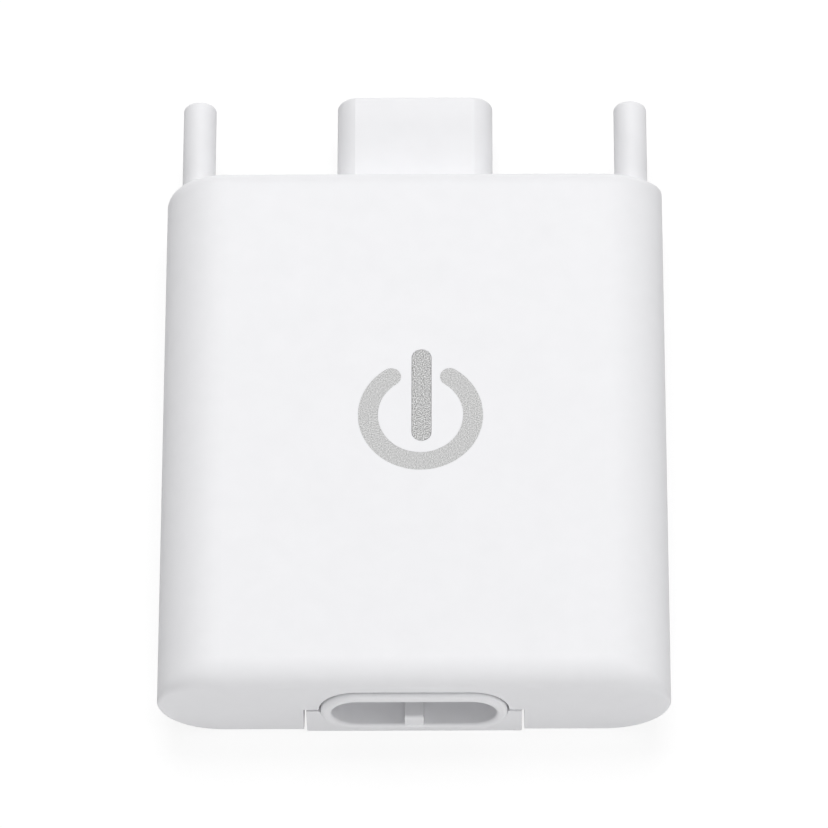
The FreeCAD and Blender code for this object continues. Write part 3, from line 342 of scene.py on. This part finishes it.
def even_shell(node, low, high):
    """The shell's points with even end roundings, its triangles, their corner normals, which of
    them lie on the roundings, and the radius that each point now has."""
    mesh = node.data
    points = np.array([vert.co for vert in mesh.vertices])
    triangles = np.array([polygon.vertices for polygon in mesh.polygons])
    normals = np.array([corner.vector for corner in mesh.corner_normals]).reshape(-1, 3, 3)
    points, same = np.unique(np.round(points, SAME_PLACE_DECIMALS), axis=0, return_inverse=True)
    triangles = same.ravel()[triangles]
    kept = sound(triangles)
    triangles, normals = triangles[kept], normals[kept]

    from_end, from_skin, turn, end_out, skin_out = section(points, low, high)
    solid = radius_through(from_end, from_skin)
    facing = normals.mean(1)
    to_end = (facing * end_out[triangles[:, 0]]).sum(1)
    to_skin = (facing * skin_out[triangles].mean(1)).sum(1)
    between = (from_end > TINY) & (from_skin > TINY)
    band = (solid[triangles] < WIDEST_ROUND).all(1) & (from_end[triangles] > -TINY).all(1)
    band &= between[triangles].any(1) | ((to_end > ROUNDING_LEAN) & (to_skin > ROUNDING_LEAN))
    walls = ~band & (np.abs(to_end) < WALL_TO_END) & (to_skin < WALL_TO_SKIN)
    in_band, at_wall = np.zeros((2, len(points)), bool)
    in_band[triangles[band]] = True
    at_wall[triangles[walls]] = True

    x, y, _ = points.T
    along = np.sign(x) * (np.minimum(np.abs(x), high.x - CORNER_WIDE) + CORNER_WIDE * turn)
    local, wanted = np.zeros((2, len(points)))
    for at_end, radius in ((y < 0, NEAR_ROUND), (y > 0, FAR_ROUND)):
        known = np.flatnonzero(in_band & at_end)
        known = known[np.argsort(along[known])]
        local[at_end] = np.interp(along[at_end], along[known], solid[known])
        wanted[at_end] = radius
    local = np.where(in_band, solid, local)
    radii = wanted + (local - wanted) * eased(turn / QUARTER)

    past = np.clip(radii - from_skin, 0, radii)
    on_arc = radii - np.sqrt(radii**2 - past**2)
    scale = radii / np.maximum(local, TINY)
    beyond = radii + (from_end - local) * (SKIN_REACH - radii) / (SKIN_REACH - local)
    on_skin = ~in_band & (np.abs(from_skin) < TINY) & (from_end < SKIN_REACH)
    cases = [in_band & at_wall, in_band, on_skin]
    new_end = np.select(cases, [on_arc, from_end * scale, beyond], from_end)
    new_skin = np.where(in_band & ~at_wall, from_skin * scale, from_skin)
    to_end_wall = (from_end - new_end)[:, None] * end_out
    moved = points + to_end_wall + (from_skin - new_skin)[:, None] * skin_out
    return moved.astype(np.float32), triangles, normals, band, radii


def even_piece(name, node_name, slot):
    """The shell with even end roundings, as a piece that stands for the node."""
    low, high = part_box(node_name)
    points, triangles, normals, band, radii = even_shell(frame["nodes"][node_name], low, high)
    used = np.unique(triangles[band])
    place = np.zeros(len(points), int)
    place[used] = np.arange(len(used))
    rounding = place[triangles[band]]
    fine, fine_triangles, fine_radii = divided(points[used], rounding, radii[used], low, high)
    fine_normals = rounding_normals(fine, fine_radii, low, high)[fine_triangles]
    corners = np.concatenate([points[triangles[~band]], fine[fine_triangles]]).reshape(-1, 3)
    corner_normals = np.concatenate([normals[~band], fine_normals])
    places, index = np.unique(corners.astype(np.float32), axis=0, return_inverse=True)
    index = index.reshape(-1, 3)
    kept = sound(index)

    mesh = bpy.data.meshes.new(name)
    mesh.from_pydata(places.tolist(), [], index[kept].tolist())
    mesh.shade_smooth()
    mesh.normals_split_custom_set(corner_normals[kept].reshape(-1, 3).tolist())
    mesh.materials.append(MATERIALS[slot])
    piece = bpy.data.objects.new(name, mesh)
    bpy.context.scene.collection.objects.link(piece)
    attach(piece, "root")
    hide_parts(node_name)


even_piece("front_shell_even", "front_shell", "housing_white")


# Floor and background. Camera and glossy rays see a white studio, other rays a dimmer one.

WHITE_LIGHT = (1.0, 1.0, 1.0, 1.0)
FLOOR_SIZE = 1.6
FLOOR_GAP = 0.02 * MM
FLOOR_BOUNCE, FLOOR_SEEN = 0.55, 0.20
FLOOR_GLOW = 0.84
WORLD_LIGHT, WORLD_SEEN = 0.15, 1.0


def camera_sees(tree, for_others, for_camera):
    """A number that is one value for camera and glossy rays and another for all others."""
    path = tree.nodes.new("ShaderNodeLightPath")
    seen = tree.nodes.new("ShaderNodeMath")
    seen.operation = "MAXIMUM"
    tree.links.new(path.outputs["Is Camera Ray"], seen.inputs[0])
    tree.links.new(path.outputs["Is Glossy Ray"], seen.inputs[1])
    level = tree.nodes.new("ShaderNodeMapRange")
    level.inputs["To Min"].default_value = for_others
    level.inputs["To Max"].default_value = for_camera
    tree.links.new(seen.outputs["Value"], level.inputs["Value"])
    return level.outputs["Result"]


def white_floor(height):
    """A pale floor that shows white, with the object's faint shadow."""
    bpy.ops.mesh.primitive_plane_add(size=FLOOR_SIZE, location=(0, 0, height))
    floor = bpy.context.object
    floor.name = "floor"
    pale = (FLOOR_BOUNCE,) * 3
    material, tree, shader = new_material("floor_white", pale, roughness=0.9, specular=0.0)
    tree.links.new(camera_sees(tree, FLOOR_BOUNCE, FLOOR_SEEN), shader.inputs["Base Color"])
    shader.inputs["Emission Color"].default_value = WHITE_LIGHT
    tree.links.new(camera_sees(tree, 0.0, FLOOR_GLOW), shader.inputs["Emission Strength"])
    floor.data.materials.append(material)


def white_world():
    """Weak even light that is seen as white."""
    world = bpy.data.worlds.new("studio")
    bpy.context.scene.world = world
    world.use_nodes = True
    tree = world.node_tree
    background = tree.nodes["Background"]
    background.inputs["Color"].default_value = WHITE_LIGHT
    tree.links.new(camera_sees(tree, WORLD_LIGHT, WORLD_SEEN), background.inputs["Strength"])


white_floor(cad_box[0].z - FLOOR_GAP)
white_world()


# Lights: name, place and size in millimetres, power in watts. All face the origin.

SOFTBOXES = [
    ("overhead", (0, 450, 800), (600, 500), 5.35),
    ("above", (0, 0, 900), (700, 700), 0.5),
    ("low_behind", (0, 850, 250), (800, 300), 0.6),
    ("low_front", (0, -800, 250), (700, 300), 2.95),
    ("right", (700, -150, 450), (400, 400), 1.26),
    ("left", (-700, -150, 450), (400, 400), 0.22),
    ("left_behind", (-600, 500, 500), (400, 400), 0.35),
]

for name, place, size, power in SOFTBOXES:
    light = bpy.data.lights.new(name, "AREA")
    light.shape = "RECTANGLE"
    light.size, light.size_y = size[0] * MM, size[1] * MM
    light.energy = power
    lamp = bpy.data.objects.new(name, light)
    bpy.context.scene.collection.objects.link(lamp)
    lamp.location = Vector(place) * MM
    lamp.rotation_euler = (-lamp.location).to_track_quat("-Z", "Y").to_euler()


# Camera: turned about the vertical, raised, then rolled. The lens shift centres the picture.

TURN, RAISE, ROLL = math.radians(1.0), math.radians(61.09), math.radians(-1.04)
AIM = Vector((0.0, 0.05, 4.0)) * MM
DISTANCE = 613.07 * MM
SENSOR_MM, LENS_MM = 36.0, 297.97
SHIFT_X, SHIFT_Y = -0.00062, 0.04258
NEAREST, FARTHEST = 0.01, 10.0

turned = Matrix.Rotation(TURN, 4, "Z") @ Matrix.Rotation(QUARTER - RAISE, 4, "X")
camera = bpy.data.objects.new("camera", bpy.data.cameras.new("camera"))
bpy.context.scene.collection.objects.link(camera)
camera.matrix_world = (
    Matrix.Translation(AIM)
    @ turned
    @ Matrix.Rotation(ROLL, 4, "Z")
    @ Matrix.Translation((0.0, 0.0, DISTANCE))
)
camera.data.sensor_width = SENSOR_MM
camera.data.lens = LENS_MM
camera.data.shift_x, camera.data.shift_y = SHIFT_X, SHIFT_Y
camera.data.clip_start, camera.data.clip_end = NEAREST, FARTHEST
bpy.context.scene.camera = camera

bpy.context.scene.view_settings.view_transform = "Standard"
